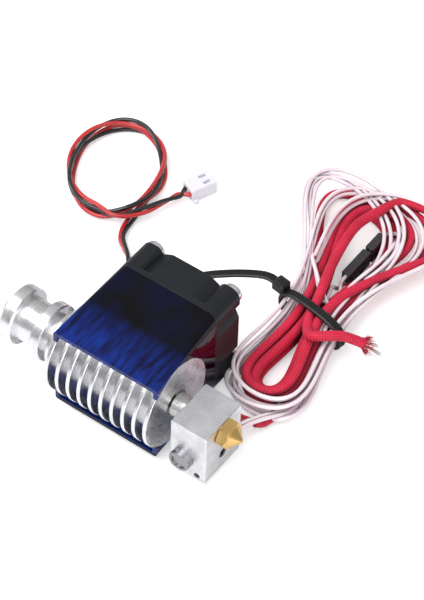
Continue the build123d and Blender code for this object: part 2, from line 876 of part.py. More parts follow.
def sensor_lead(side):
    """One lead of the pair, on the left or right of the other."""
    lead_x = sensor_x + side * sensor_pair_gap
    corners = [
        (lead_x, leg_end + 0.1, sensor_z),
        (lead_x, leg_end + 1.9, sensor_z),
        (lead_x + 2.8, 15.6, layer_three),
    ]
    bends = [1.5, 5]
    for corner in range(1, layer_corners + 3):
        turn = loops_per_layer - 0.25 - corner / loop_corners * 0.8 + side * 0.22
        corners.append(skein_corner(turn, corner, layer_three))
        bends.append(skein_bend(turn, corner))
    corners += [
        (waist_x - 0.5 + side * sensor_pair_gap, 60.0, connector_z + 2.4),
        (connector_x, connector_start - 3.0, connector_z + side * connector_width / 2),
        (connector_x, connector_start + 0.8, connector_z + side * connector_width / 2),
    ]
    bends += [4, 3]
    return bent_cable(corners, bends, sensor_wire_radius)


thermistor_leads = Compound([sensor_lead(-1), sensor_lead(1)])
save(thermistor_leads, "thermistor_leads")

# ---------------------------------------------------------------- sensor connector, its mate and the pins
connector_origin = (connector_x, connector_start, connector_z)
connector_plane = Plane(origin=connector_origin, x_dir=(1, 0, 0), z_dir=(0, 1, 0))


def pin_housing(length):
    """Blank two-way pin housing standing on its edge, with a through cavity for each pin."""
    with BuildPart() as housing:
        with BuildSketch(connector_plane):
            Rectangle(connector_width, connector_height)
        extrude(amount=length)
        fillet(housing.edges(), radius=0.2)
        with BuildSketch(connector_plane):
            with GridLocations(1, connector_width, 1, 2):
                Rectangle(1.4, 1.4)
        extrude(amount=length, mode=Mode.SUBTRACT)
        with BuildSketch(connector_plane.offset(length / 2)):
            with Locations((connector_width / 2, 0)):
                with GridLocations(1, connector_width, 1, 2):
                    Rectangle(connector_width / 2, 1.0)
        extrude(amount=length / 4, mode=Mode.SUBTRACT)
    return housing.part


mate_start = connector_length + mate_gap
save(pin_housing(connector_length), "thermistor_plug")
save(Pos(0, mate_start, 0) * pin_housing(mate_length), "thermistor_mating_plug")

pin_size = 0.64
pin_start = 3.0
pin_end = mate_start + mate_length - 1.5
with BuildPart() as thermistor_plug_pins:
    with BuildSketch(connector_plane.offset(pin_start)):
        with GridLocations(1, connector_width, 1, 2):
            Rectangle(pin_size, pin_size)
    extrude(amount=pin_end - pin_start)
save(thermistor_plug_pins.part, "thermistor_plug_pins")

# ---------------------------------------------------------------- cable tie round the skein's waist
tie_inner_width = 19.6
tie_bottom = bench + 0.05
tie_top = layer_three + sensor_wire_radius + 0.2 + tie_thickness
tie_height = tie_top - tie_bottom
tie_centre_z = (tie_top + tie_bottom) / 2
tie_outer_width = tie_inner_width + 2 * tie_thickness
tie_head_length = 3.6
tie_head_width = 3.4
tie_head_height = 2.8
tie_tilt_angle = radians(tie_tilt)
tie_along = Vector(cos(tie_tilt_angle), sin(tie_tilt_angle), 0)
tie_across = Vector(-sin(tie_tilt_angle), cos(tie_tilt_angle), 0)
tie_centre = Vector(waist_x, waist_y, tie_centre_z)
tie_plane = Plane(origin=tie_centre - tie_across * (tie_width / 2), x_dir=tie_along, z_dir=tie_across)
head_x = -tie_outer_width / 2 + 0.6
head_plane = Plane(
    origin=tie_centre - tie_across * (tie_head_width / 2) + Vector(0, 0, tie_height / 2 - tie_thickness / 2),
    x_dir=tie_along,
    z_dir=tie_across,
)
head_end = head_x - tie_head_length / 2 + 0.2
tail_start = head_plane.origin + tie_across * (tie_head_width / 2) + tie_along * head_end
with BuildPart() as cable_tie:
    with BuildSketch(tie_plane):
        RectangleRounded(tie_outer_width, tie_height, 2.2)
        RectangleRounded(tie_inner_width, tie_height - 2 * tie_thickness, 1.3, mode=Mode.SUBTRACT)
    extrude(amount=tie_width)
    with BuildSketch(head_plane):
        with Locations((head_x, 0)):
            Rectangle(tie_head_length, tie_head_height)
    extrude(amount=tie_head_width)
    with BuildLine() as tail_path:
        Spline(
            tail_start,
            tail_start + Vector(-5.0, 0.2, 0.1),
            tail_start + Vector(-11.0, -2.4, -0.6),
            tail_start + Vector(-18.0, -6.0, -2.2),
            tail_start + Vector(-23.0, -9.5, -3.8),
        )
    with BuildSketch(Plane(origin=tail_path.line @ 0, x_dir=tie_across, z_dir=tail_path.line % 0)):
        Rectangle(tie_width - 0.3, tie_thickness)
    sweep(path=tail_path.line, normal=(0, 0, 1))
save(cable_tie.part, "cable_tie")
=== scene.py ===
import math

import bpy
import numpy as np
from mathutils import Matrix, Vector


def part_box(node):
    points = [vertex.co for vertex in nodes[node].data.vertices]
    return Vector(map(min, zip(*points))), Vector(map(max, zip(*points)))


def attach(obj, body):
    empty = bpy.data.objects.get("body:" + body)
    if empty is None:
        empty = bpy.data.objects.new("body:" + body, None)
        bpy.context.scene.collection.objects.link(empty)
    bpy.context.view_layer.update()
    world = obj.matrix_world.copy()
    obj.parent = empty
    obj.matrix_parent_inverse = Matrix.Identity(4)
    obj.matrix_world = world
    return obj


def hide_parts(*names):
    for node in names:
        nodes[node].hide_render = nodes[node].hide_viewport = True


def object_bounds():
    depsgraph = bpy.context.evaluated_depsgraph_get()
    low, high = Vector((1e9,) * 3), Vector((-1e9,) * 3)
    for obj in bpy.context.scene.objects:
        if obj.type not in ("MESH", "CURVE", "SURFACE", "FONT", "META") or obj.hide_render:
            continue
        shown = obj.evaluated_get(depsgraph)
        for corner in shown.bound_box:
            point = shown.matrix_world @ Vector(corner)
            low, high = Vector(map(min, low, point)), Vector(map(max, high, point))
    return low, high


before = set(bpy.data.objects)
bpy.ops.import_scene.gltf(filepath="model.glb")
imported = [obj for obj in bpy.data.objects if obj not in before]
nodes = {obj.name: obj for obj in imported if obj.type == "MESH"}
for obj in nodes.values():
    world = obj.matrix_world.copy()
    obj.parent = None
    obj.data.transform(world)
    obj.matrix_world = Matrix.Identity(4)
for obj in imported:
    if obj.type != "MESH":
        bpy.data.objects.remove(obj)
cad_low, cad_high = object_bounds()
random = np.random.default_rng(11)

MM = 0.001
HOTEND = "hotend"
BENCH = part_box("fan_frame")[0].z / MM


# ---------------------------------------------------------------- material helpers
def add(tree, kind, inputs=None, **settings):
    """Adds a shader node. Inputs may be values or sockets to link from."""
    node = tree.nodes.new("ShaderNode" + kind)
    for key, value in settings.items():
        setattr(node, key, value)
    for key, value in (inputs or {}).items():
        if isinstance(value, bpy.types.NodeSocket):
            tree.links.new(value, node.inputs[key])
        else:
            node.inputs[key].default_value = value
    return node


def principled(name, inputs):
    """New material with a principled shader set up from the inputs."""
    material = bpy.data.materials.new(name)
    material.use_nodes = True
    tree = material.node_tree
    shader = tree.nodes["Principled BSDF"]
    for key, value in inputs.items():
        shader.inputs[key].default_value = value
    return material, tree, shader


def calc(tree, operation, a, b=0.0):
    """Result socket of a maths node."""
    return add(tree, "Math", {0: a, 1: b}, operation=operation).outputs[0]


def place(tree, scale=(1, 1, 1)):
    """Row-frame position in millimetres, stretched by a scale."""
    position = add(tree, "TexCoord").outputs["Object"]
    stretch = tuple(s / MM for s in scale)
    return add(tree, "Mapping", {"Vector": position, "Scale": stretch}).outputs[0]


def noise(tree, vector, scale, detail=3.0):
    """Noise value between about 0.3 and 0.7."""
    return add(tree, "TexNoise", {"Vector": vector, "Scale": scale, "Detail": detail}).outputs[0]


def spread(tree, value, low, high, start=0.35, end=0.65):
    """Maps a noise value to a range."""
    inputs = {"Value": value, "From Min": start, "From Max": end, "To Min": low, "To Max": high}
    return add(tree, "MapRange", inputs).outputs[0]


def shade(tree, value, dark, light, start=0.35, end=0.65):
    """Colour between two others by a value."""
    mix = add(tree, "Mix", {"Factor": spread(tree, value, 0.0, 1.0, start, end)}, data_type="RGBA")
    for key, colour in (("A", dark), ("B", light)):
        socket = [s for s in mix.inputs if s.name == key and s.type == "RGBA"][0]
        if isinstance(colour, bpy.types.NodeSocket):
            tree.links.new(colour, socket)
        else:
            socket.default_value = (*colour, 1)
    return [s for s in mix.outputs if s.type == "RGBA"][0]


def edge_glint_mask(tree, width):
    """Painted highlight mask: near 1 along outside edges and 0 on flat surfaces."""
    rounded = add(tree, "Bevel", {"Radius": width * MM}, samples=4).outputs[0]
    flat = add(tree, "NewGeometry").outputs["Normal"]
    likeness = add(tree, "VectorMath", {0: rounded, 1: flat}, operation="DOT_PRODUCT")
    return spread(tree, likeness.outputs["Value"], 1.0, 0.0, 0.80, 0.97)


def contact_shade(tree, reach):
    """Painted shade: near 0 deep between touching cables, where shade falls, and 1 on open surfaces."""
    return add(tree, "AmbientOcclusion", {"Distance": reach * MM}, samples=6).outputs["AO"]


def relief(tree, shader, height, strength, distance):
    """Bump from a height value, in millimetres."""
    bump = add(tree, "Bump", {"Height": height, "Strength": strength, "Distance": distance * MM})
    tree.links.new(bump.outputs[0], shader.inputs["Normal"])


def turned_metal(name, colour, rough, centre=(0, 0), axis="x", groove=5.0, strength=0.25, glint_width=0.10):
    """Metal with concentric tool marks about the hotend axis or the fan axis, and a painted highlight along
    its outside edges.
    """
    material, tree, shader = principled(name, {"Metallic": 1.0})
    split = add(tree, "SeparateXYZ", {"Vector": place(tree)})
    first, second = ("Y", "Z") if axis == "x" else ("X", "Z")
    along = split.outputs["X" if axis == "x" else "Y"]
    a = calc(tree, "SUBTRACT", split.outputs[first], centre[0])
    b = calc(tree, "SUBTRACT", split.outputs[second], centre[1])
    squares = calc(tree, "ADD", calc(tree, "MULTIPLY", a, a), calc(tree, "MULTIPLY", b, b))
    radius = calc(tree, "SQRT", squares)
    ring = add(tree, "CombineXYZ", {"X": along, "Y": radius}).outputs[0]
    grooves = noise(tree, ring, groove, 2.0)
    smudge = noise(tree, place(tree), 0.35)
    dark = tuple(0.90 * c for c in colour)
    base = shade(tree, smudge, dark, colour)
    # Painted highlight: lighter colour along outside edges.
    light = tuple(min(1.0, 1.25 * c) for c in colour)
    glint_mask = edge_glint_mask(tree, glint_width)
    tree.links.new(shade(tree, glint_mask, base, light, 0.0, 1.0), shader.inputs["Base Color"])
    tooled = spread(tree, grooves, rough * 0.92, rough * 1.12)
    roughness = calc(tree, "ADD", tooled, spread(tree, smudge, 0.0, 0.05))
    tree.links.new(roughness, shader.inputs["Roughness"])
    relief(tree, shader, grooves, strength, 0.02)
    return material


def grained(name, inputs, colour, grain=8.0, strength=0.2, depth=0.02, mottle=0.12, rough=0.5, glint_width=0.0):
    """Cast, milled or moulded surface with an even fine grain, and a painted highlight along outside edges
    when an edge width is given.
    """
    material, tree, shader = principled(name, inputs)
    fine = noise(tree, place(tree), grain, 4.0)
    broad = noise(tree, place(tree), 0.25, 2.0)
    dark = tuple((1 - mottle) * c for c in colour)
    light = tuple(min(1.0, (1 + mottle) * c) for c in colour)
    base = shade(tree, calc(tree, "MULTIPLY", calc(tree, "ADD", fine, broad), 0.5), dark, light)
    # Painted highlight: lighter colour along outside edges.
    if glint_width:
        glint_colour = tuple(min(1.0, 1.4 * c + 0.05) for c in colour)
        base = shade(tree, edge_glint_mask(tree, glint_width), base, glint_colour, 0.0, 1.0)
    tree.links.new(base, shader.inputs["Base Color"])
    tree.links.new(spread(tree, fine, rough * 0.85, rough * 1.15), shader.inputs["Roughness"])
    relief(tree, shader, fine, strength, depth)
    return material


# ---------------------------------------------------------------- materials
fan_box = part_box("fan_frame")
fan_axis = ((fan_box[0].x + fan_box[1].x) / 2 / MM, 0.0)

# Every turned metal, and each grained finish given an edge width, gets a painted highlight along its outside
# edges.
polished = turned_metal("polished_aluminium", (0.84, 0.84, 0.86), 0.25, groove=2.4, strength=0.025)
milled = grained("blasted_aluminium", {"Metallic": 1.0}, (0.74, 0.745, 0.77),
                 3.2, 1.0, 0.06, 0.16, 0.40, 0.30)
break_metal = turned_metal("turned_steel", (0.66, 0.65, 0.64), 0.22, groove=6.0)
cartridge_metal = turned_metal("drawn_steel", (0.34, 0.33, 0.35), 0.26, groove=2.0)
dark_metal = turned_metal("black_oxide", (0.08, 0.08, 0.09), 0.35)
brass = turned_metal("turned_brass", (0.80, 0.53, 0.20), 0.26, groove=3.0, strength=0.10, glint_width=0.20)
bronze = turned_metal("sintered_bronze", (0.46, 0.32, 0.15), 0.45, fan_axis, "y")
ground_steel = turned_metal("ground_steel", (0.70, 0.70, 0.72), 0.15, fan_axis, "y")
screw_metal = grained("zinc_plate", {"Metallic": 1.0}, (0.80, 0.80, 0.82), 3.0, 0.15, 0.01, 0.08, 0.16, 0.12)
stamped = grained("stamped_steel", {"Metallic": 1.0}, (0.42, 0.42, 0.44), 5.0, 0.2, 0.02, 0.1, 0.4)
magnet = grained("magnet", {"Metallic": 0.4}, (0.12, 0.12, 0.13), 6.0, 0.3, 0.03, 0.2, 0.55)
fan_plastic = grained("fan_plastic", {"Specular IOR Level": 0.28}, (0.011, 0.012, 0.015),
                      7.0, 0.35, 0.02, 0.2, 0.38, 0.25)
tie_plastic = grained("tie_nylon", {"Specular IOR Level": 0.35}, (0.010, 0.010, 0.011),
                      2.5, 0.25, 0.03, 0.2, 0.40, 0.10)
connector_plastic = grained("connector_plastic", {}, (0.030, 0.030, 0.034), 6.0, 0.3, 0.02, 0.2, 0.42, 0.10)
nylon = grained("plug_nylon", {"Subsurface Weight": 0.35, "Subsurface Radius": (0.002, 0.002, 0.002)},
                (0.80, 0.78, 0.86), 2.0, 0.2, 0.02, 0.04, 0.38)
ptfe = grained("ptfe", {"Subsurface Weight": 0.4, "Subsurface Radius": (0.001, 0.001, 0.001)},
               (0.88, 0.88, 0.86), 3.0, 0.15, 0.01, 0.03, 0.35)
board = grained("solder_mask", {"Coat Weight": 0.5}, (0.02, 0.16, 0.06), 2.0, 0.2, 0.02, 0.25, 0.35)
foil = grained("blank_foil", {"Metallic": 0.6}, (0.62, 0.63, 0.66), 1.5, 0.1, 0.01, 0.06, 0.3)
copper = grained("enamelled_copper", {"Metallic": 0.9, "Coat Weight": 0.6}, (0.72, 0.30, 0.12),
                 2.0, 0.4, 0.05, 0.2, 0.3)
bead_glass = grained("bead_glass", {"Transmission Weight": 0.5}, (0.55, 0.34, 0.18),
                     3.0, 0.1, 0.01, 0.2, 0.15)
tinned = grained("tinned_wire", {"Metallic": 1.0}, (0.74, 0.73, 0.72), 4.0, 0.3, 0.02, 0.12, 0.25)


def wire_plastic(name, colour, light, rough=0.24, shadow=None):
    """Glossy extruded wire insulation with faint streaks along the wire; with a shadow colour, painted shade
    between touching wires.
    """
    material, tree, shader = principled(name, {"Coat Weight": 0.35, "Coat Roughness": 0.12})
    uv = add(tree, "UVMap", uv_map="along").outputs[0]
    streaks = noise(tree, add(tree, "Mapping", {"Vector": uv, "Scale": (6.0, 0.12, 1.0)}).outputs[0], 3.0)
    patches = noise(tree, place(tree), 0.12, 2.0)
    mixed = calc(tree, "ADD", calc(tree, "MULTIPLY", streaks, 0.4), calc(tree, "MULTIPLY", patches, 0.6))
    base = shade(tree, mixed, colour, light)
    # Painted shade between touching wires.
    if shadow:
        base = shade(tree, contact_shade(tree, 2.0), shadow, base, 0.1, 0.8)
    tree.links.new(base, shader.inputs["Base Color"])
    tree.links.new(spread(tree, streaks, rough * 0.8, rough * 1.3), shader.inputs["Roughness"])
    relief(tree, shader, streaks, 0.12, 0.02)
    return material


red_wire = wire_plastic("red_wire", (0.50, 0.015, 0.020), (0.64, 0.05, 0.05))
black_wire = wire_plastic("black_wire", (0.010, 0.010, 0.012), (0.022, 0.022, 0.026))
white_wire = wire_plastic("white_wire", (0.80, 0.64, 0.71), (0.92, 0.84, 0.88), 0.30, (0.20, 0.15, 0.18))


def braided(name):
    """Knitted glass-fibre sleeve: crossing strands, painted shade in the knit's gaps and between touching
    cables, painted pink highlights on the knit's crests, and a soft sheen.
    """
    finish = {"Roughness": 0.62, "Sheen Weight": 0.10, "Sheen Roughness": 0.4}
    material, tree, shader = principled(name, finish)
    shader.inputs["Sheen Tint"].default_value = (1.0, 0.55, 0.65, 1)
    uv = add(tree, "UVMap", uv_map="along").outputs[0]
    split = add(tree, "SeparateXYZ", {"Vector": uv})
    turn = calc(tree, "MULTIPLY", split.outputs["X"], 14 * math.pi)
    run = calc(tree, "MULTIPLY", split.outputs["Y"], 14 * math.pi)
    left = calc(tree, "SINE", calc(tree, "ADD", turn, run))
    right = calc(tree, "SINE", calc(tree, "SUBTRACT", turn, run))
    cells = calc(tree, "MULTIPLY", left, right)
    stretched = add(tree, "Mapping", {"Vector": uv, "Scale": (90.0, 30.0, 1.0)}).outputs[0]
    fibres = noise(tree, stretched, 1.0, 3.0)
    drift = noise(tree, place(tree), 0.10, 2.0)
    body = shade(tree, drift, (0.62, 0.003, 0.040), (0.84, 0.010, 0.070))
    # Painted shade in the gaps between the knit's cells.
    knit_shade = shade(tree, cells, (0.26, 0.001, 0.012), body, -0.9, 0.1)
    # Painted pink highlights on the knit's crests.
    crests = spread(tree, cells, 0.0, 1.0, 0.55, 1.0)
    crest_glint = calc(tree, "MULTIPLY", crests, spread(tree, fibres, 0.0, 1.0, 0.55, 0.75))
    lit = shade(tree, crest_glint, knit_shade, (0.95, 0.42, 0.52), 0.0, 1.0)
    # Painted shade between touching cables.
    base = shade(tree, contact_shade(tree, 2.6), (0.085, 0.000, 0.004), lit, 0.15, 0.85)
    tree.links.new(base, shader.inputs["Base Color"])
    relief(tree, shader, calc(tree, "ADD", cells, fibres), 0.5, 0.12)
    return material


sleeve_fabric = braided("braided_sleeve")


def tinted_duct(name):
    """Blue translucent moulding, clear near the fins. Painted shade makes it nearly black and less clear
    towards the fan, on faces pointing down and on the lower plate's front; a painted blue glow lights the
    rest of the lower plate.
    """
    material, tree, shader = principled(name, {"IOR": 1.46, "Specular IOR Level": 0.22})
    split = add(tree, "SeparateXYZ", {"Vector": place(tree)})
    facing = add(tree, "SeparateXYZ", {"Vector": add(tree, "NewGeometry").outputs["Normal"]})
    # Painted shade: darker and less clear towards the fan.
    back = add(tree, "MapRange", {"Value": split.outputs["Y"], "From Min": -11.5, "From Max": 5.0}).outputs[0]
    plate = {"Value": split.outputs["Z"], "From Min": -11.0, "From Max": -11.8}
    low = add(tree, "MapRange", plate).outputs[0]
    front = spread(tree, facing.outputs["Y"], 1.0, 0.0, -0.8, -0.4)
    lip_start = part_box("fan_duct")[0].y / MM
    lip_range = {"Value": split.outputs["Y"], "From Min": lip_start + 5.6, "From Max": lip_start + 5.0}
    lip = add(tree, "MapRange", lip_range).outputs[0]
    # Painted shade under the duct: faces pointing down, and the lower plate's front faces and front lip.
    outside = calc(tree, "MULTIPLY", low, calc(tree, "MAXIMUM", front, lip))
    underside_shade = calc(tree, "MAXIMUM", spread(tree, facing.outputs["Z"], 1.0, 0.0, -0.8, -0.4), outside)
    # Painted glow: blue emission on the lower plate wherever no painted shade falls.
    painted_glow = calc(tree, "MULTIPLY", low, calc(tree, "SUBTRACT", 1.0, underside_shade))
    shader.inputs["Emission Color"].default_value = (0.02, 0.08, 0.42, 1)
    tree.links.new(calc(tree, "MULTIPLY", painted_glow, 0.60), shader.inputs["Emission Strength"])
    shadow = calc(tree, "MAXIMUM", back, underside_shade)
    wisps = noise(tree, place(tree, (1.0, 0.18, 0.4)), 0.75, 3.0)
    blotch = noise(tree, place(tree), 0.16, 3.0)
    # Blue where light passes, nearly black and less clear where shade is painted.
    near = shade(tree, wisps, (0.000, 0.004, 0.085), (0.004, 0.050, 0.48))
    far = shade(tree, blotch, (0.0004, 0.0004, 0.0015), (0.0010, 0.0012, 0.016))
    tree.links.new(shade(tree, shadow, near, far, 0.0, 1.0), shader.inputs["Base Color"])
    clear = calc(tree, "MULTIPLY", calc(tree, "SUBTRACT", 1.0, shadow), 0.45)
    tree.links.new(calc(tree, "ADD", clear, 0.06), shader.inputs["Transmission Weight"])
    tree.links.new(spread(tree, blotch, 0.03, 0.09), shader.inputs["Roughness"])
    relief(tree, shader, noise(tree, place(tree), 0.25, 2.0), 0.12, 0.15)
    return material


duct_plastic = tinted_duct("duct_plastic")

finishes = {
    "heat_sink": polished, "collet_ring": brass, "collet": fan_plastic, "ptfe_liner": ptfe,
    "heat_break": break_metal, "heater_block": milled, "nozzle": brass, "heater_cartridge": cartridge_metal,
    "heater_grub_screw": dark_metal, "thermistor_bead": bead_glass, "fan_duct": duct_plastic,
    "fan_frame": fan_plastic, "fan_bearing": bronze, "fan_shaft": ground_steel, "fan_retaining_ring": ptfe,
    "fan_impeller": fan_plastic, "fan_magnet_ring": magnet, "fan_stator": stamped, "fan_coils": copper,
    "fan_circuit_board": board, "fan_hub_label": foil, "fan_screws": screw_metal, "fan_plug_housing": nylon,
    "fan_plug_contacts": tinned, "thermistor_plug": connector_plastic,
    "thermistor_mating_plug": connector_plastic, "thermistor_plug_pins": tinned,
}
for name, finish in finishes.items():
    mesh = nodes[name].data
    mesh.materials.clear()
    mesh.materials.append(finish)


# ---------------------------------------------------------------- geometry helpers
def smooth(points, step):
    """Evenly spaced points along a Catmull-Rom curve through the given points, in millimetres."""
    knots = np.array([tuple(p) for p in points], float)
    padded = np.vstack([2 * knots[0] - knots[1], knots, 2 * knots[-1] - knots[-2]])
    curve = []
    share = np.linspace(0, 1, 24, endpoint=False)[:, None]
    for a, b, c, d in zip(padded[:-3], padded[1:-2], padded[2:-1], padded[3:]):
        bend = (2 * a - 5 * b + 4 * c - d) * share**2 + (3 * b - a - 3 * c + d) * share**3
        curve.append(0.5 * (2 * b + (c - a) * share + bend))
    curve = np.vstack(curve + [knots[-1:]])
    travelled = np.concatenate([[0], np.cumsum(np.linalg.norm(np.diff(curve, axis=0), axis=1))])
    count = max(2, round(travelled[-1] / step))
    wanted = np.linspace(0, travelled[-1], count + 1)
    return np.column_stack([np.interp(wanted, travelled, curve[:, k]) for k in range(3)])


def frames(path):
    """Tangents and two side vectors along a path, turning as little as possible."""
    tangent = np.gradient(path, axis=0)
    tangent /= np.linalg.norm(tangent, axis=1)[:, None]
    side = np.zeros_like(path)
    start = np.cross(tangent[0], (0, 0, 1))
    side[0] = start / np.linalg.norm(start)
    for i in range(1, len(path)):
        kept = side[i - 1] - tangent[i] * np.dot(side[i - 1], tangent[i])
        side[i] = kept / np.linalg.norm(kept)
    return tangent, side, np.cross(tangent, side)


def build(name, vertices, faces, material, uvs=None, flat=False):
    """Mesh object from millimetre vertices, riding on the hotend."""
    mesh = bpy.data.meshes.new(name)
    mesh.from_pydata([tuple(v) for v in np.asarray(vertices) * MM], [], faces)
    mesh.materials.append(material)
    if uvs is not None:
        layer = mesh.uv_layers.new(name="along")
        corners = np.zeros(len(mesh.loops), np.int32)
        mesh.loops.foreach_get("vertex_index", corners)
        layer.data.foreach_set("uv", np.asarray(uvs, np.float32)[corners].ravel())
    mesh.polygons.foreach_set("use_smooth", [not flat] * len(mesh.polygons))
    mesh.update()
    piece = bpy.data.objects.new(name, mesh)
    bpy.context.scene.collection.objects.link(piece)
    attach(piece, HOTEND)
    return piece


def tube_mesh(path, radius, around, pattern=None, offset=0):
    """Rings round a path, closed at both ends. Radius may be one number or one per ring."""
    tangent, side, over = frames(path)
    count = len(path)
    angles = 2 * np.pi * np.arange(around) / around
    travelled = np.concatenate([[0], np.cumsum(np.linalg.norm(np.diff(path, axis=0), axis=1))])
    radii = np.broadcast_to(np.asarray(radius, float), (count,))[:, None] * np.ones((1, around))
    run = travelled / (2 * np.pi * float(np.max(radius)))
    if pattern:
        radii = radii * pattern(angles[None, :] / (2 * np.pi), run[:, None])
    ring = side[:, None, :] * np.cos(angles)[None, :, None] + over[:, None, :] * np.sin(angles)[None, :, None]
    vertices = (path[:, None, :] + ring * radii[:, :, None]).reshape(-1, 3)
    uvs = np.stack(np.broadcast_arrays(angles[None, :] / (2 * np.pi), run[:, None]), axis=-1).reshape(-1, 2)
    faces = []
    for i in range(count - 1):
        low = offset + i * around
        for j in range(around):
            k = (j + 1) % around
            faces.append((low + j, low + k, low + around + k, low + around + j))
    faces.append(tuple(offset + j for j in reversed(range(around))))
    faces.append(tuple(offset + (count - 1) * around + j for j in range(around)))
    return vertices, faces, uvs


def tube(name, paths, radius, material, around=12, pattern=None):
    """One piece made of a tube along each path."""
    vertices, faces, uvs, offset = [], [], [], 0
    for path in paths:
        v, f, u = tube_mesh(path, radius, around, pattern, offset)
        vertices.append(v)
        faces += f
        uvs.append(u)
        offset += len(v)
    return build(name, np.vstack(vertices), faces, material, np.vstack(uvs))


# ---------------------------------------------------------------- fan lead: twisted pair in a coil
WIRE = 0.6
PLUG_PIN_OFFSET = 1.25
PAIR_GAP = 0.63
PAIR_PITCH = 34.0
plug_low, plug_high = (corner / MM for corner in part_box("fan_plug_housing"))
plug_angle = math.radians(67.8)
plug_mouth = Vector((2.3, 70.4, (plug_low.z + plug_high.z) / 2))
coil_centre = Vector((-18.5, 65.8, 0))
coil_long, coil_short, coil_angle = 17.2, 12.6, math.radians(115.5)
pair_low = BENCH + PAIR_GAP + WIRE + 0.1
pair_high = pair_low + 2 * (PAIR_GAP + WIRE)


def coil_point(angle, size, height):
    """Point of the oval coil at an angle from its far end."""
    along = (coil_long + size) * math.cos(angle)
    across = (coil_short + size) * math.sin(angle)
    x = coil_centre.x + along * math.cos(coil_angle) + across * math.sin(coil_angle)
    y = coil_centre.y + along * math.sin(coil_angle) - across * math.cos(coil_angle)
    return (x, y, height)


lead = [(fan_box[0].x / MM - 0.4, fan_box[1].y / MM - 3.0, -9.0), (11.0, 34.0, pair_low + 0.9),
        (3.6, 41.8, pair_low), (-2.9, 47.6, pair_low)]
for step in range(31):
    share = step / 30
    rise = min(max((share - 0.44) / 0.10, 0), 1)
    height = pair_low + (pair_high - pair_low) * rise * rise * (3 - 2 * rise)
    wobble = 0.35 * math.sin(5.1 * share * math.pi)
    lead.append(coil_point(math.radians(130 - 660 * share), wobble, height))
lead += [(-6.6, 50.2, pair_high), (-2.2, 56.0, pair_high), (-0.6, 62.5, plug_mouth.z + 0.3)]
plug_axis = Vector((math.cos(plug_angle), math.sin(plug_angle), 0))
plug_side = Vector((-plug_axis.y, plug_axis.x, 0))
lead.append(plug_mouth - plug_axis * 2.2)
pair = smooth(lead, 0.5)
travelled = np.linspace(0, 1, len(pair)) * 0.5 * len(pair)
_, side, over = frames(pair)
turns = round(travelled[-1] / PAIR_PITCH)
angle = 2 * np.pi * turns * travelled / travelled[-1] + 0.5 * np.pi * np.clip(1 - travelled / 30, 0, 1)
swing = side * np.cos(angle)[:, None] + over * np.sin(angle)[:, None]
for name, node, sign, material in (("fan_wire_black", "fan_lead_black", 1, black_wire),
                                   ("fan_wire_red", "fan_lead_red", -1, red_wire)):
    strand = pair + sign * PAIR_GAP * swing
    entry = plug_mouth + plug_side * (sign * PLUG_PIN_OFFSET)
    ends = [tuple(entry - plug_axis * 0.3), tuple(entry + plug_axis * 1.2)]
    strand = smooth(np.vstack([strand[:-1:6], ends]), 0.5)
    wire = tube(name, [strand], WIRE, material, 14)
    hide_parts(node)

# ---------------------------------------------------------------- skein of heater and sensor cables
WAIST = (57.0, 50.3)
LOOP_PITCH = 2.85
SLEEVE = 1.35
LEAD = 0.55
HEATER_WIRE = 0.5
STRAND = 0.11
FIBRE = 0.07
PIN_OFFSET = 1.27


def ease(part):
    """Smooth step from 0 to 1."""
    part = min(max(part, 0.0), 1.0)
    return part * part * (3 - 2 * part)


def skein_point(angle, size, low, high, lean, waist_z, near_z, far_z):
    """Point of a loop: angle 0 is the near lobe's end, 90 the waist's right, 180 the far lobe's end."""
    near = math.cos(angle) > 0
    side = 1.0 + LOOP_PITCH * size
    wide = 7.1 + 2.6 * low if near else 18.5 + 4.0 * high
    reach = 24.0 + LOOP_PITCH * low if near else 43.0 + LOOP_PITCH * high
    away = -reach * math.cos(angle)
    across = math.sin(angle) * (side + wide * math.cos(angle) ** 2)
    swing = 0 if near else lean * (away / 45) ** 2
    x = WAIST[0] - 0.125 * away - 0.0007 * away**2 + across + swing
    lobe = 1 - math.exp(-((away / 14) ** 2))
    return (x, WAIST[1] + away, waist_z + ((near_z if near else far_z) - waist_z) * lobe)


def skein_loops(loops, start, end, steps=40):
    """Loops one after another, start and end in turns. Each gives way to the next at the near lobe's end."""
    loops = np.array(loops, float)
    points = []
    for step in range(round(start * steps), round(end * steps) + 1):
        turn = step / steps
        index = min(max(round(turn), 0), len(loops) - 1)
        part = ease((turn - index) / 0.36 + 0.5)
        before = loops[max(index - 1, 0)]
        points.append(skein_point(2 * math.pi * turn, *(before * (1 - part) + loops[index] * part)))
    return points


# Each loop: sizes at the waist, near lobe and far lobe, the far lobe's lean,
# then heights at the waist, near lobe and far lobe
sleeve_loops = [
    (1.15, 1.7, 1.6, -6, -12.45, -13.5, -13.5),
    (0.10, 0.5, 0.2, -4, -12.45, -13.5, -13.5),
    (0.10, 0.4, 0.8, 3, -9.70, -10.7, -10.7),
    (1.15, 1.6, 2.0, 5, -9.70, -10.7, -10.7),
    (0.62, 1.0, 2.7, 11, -6.95, -7.9, -8.6),
]
sleeve_points = [(63.6, 15.2, -12.45), (65.4, 18.0, -13.2)] + skein_loops(sleeve_loops, 0.10, 4.54)
sleeve_points += [
    (50.5, 92.0, -8.0), (49.0, 82.0, -7.0), (51.6, 68.0, -6.6), (55.2, 56.0, -6.95),
    (57.2, 49.0, -6.95), (59.4, 44.4, -6.2), (61.8, 42.2, -5.2), (64.4, 43.2, -4.6),
    (68.4, 47.2, -5.6), (72.4, 51.4, -9.4),
]
SLEEVE_CARRIERS = 7


def braid(u, v):
    """Radius factor of the knit: crossing rows of cells."""
    turn, run = 2 * np.pi * SLEEVE_CARRIERS * u, 2 * np.pi * SLEEVE_CARRIERS * v
    return 1 + 0.035 * np.sin(turn + run) * np.sin(turn - run)


sleeve_path = smooth(sleeve_points, 0.24)
sleeve = tube("braided_sleeve", [sleeve_path], SLEEVE, sleeve_fabric, 42, braid)
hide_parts("heater_sleeve")

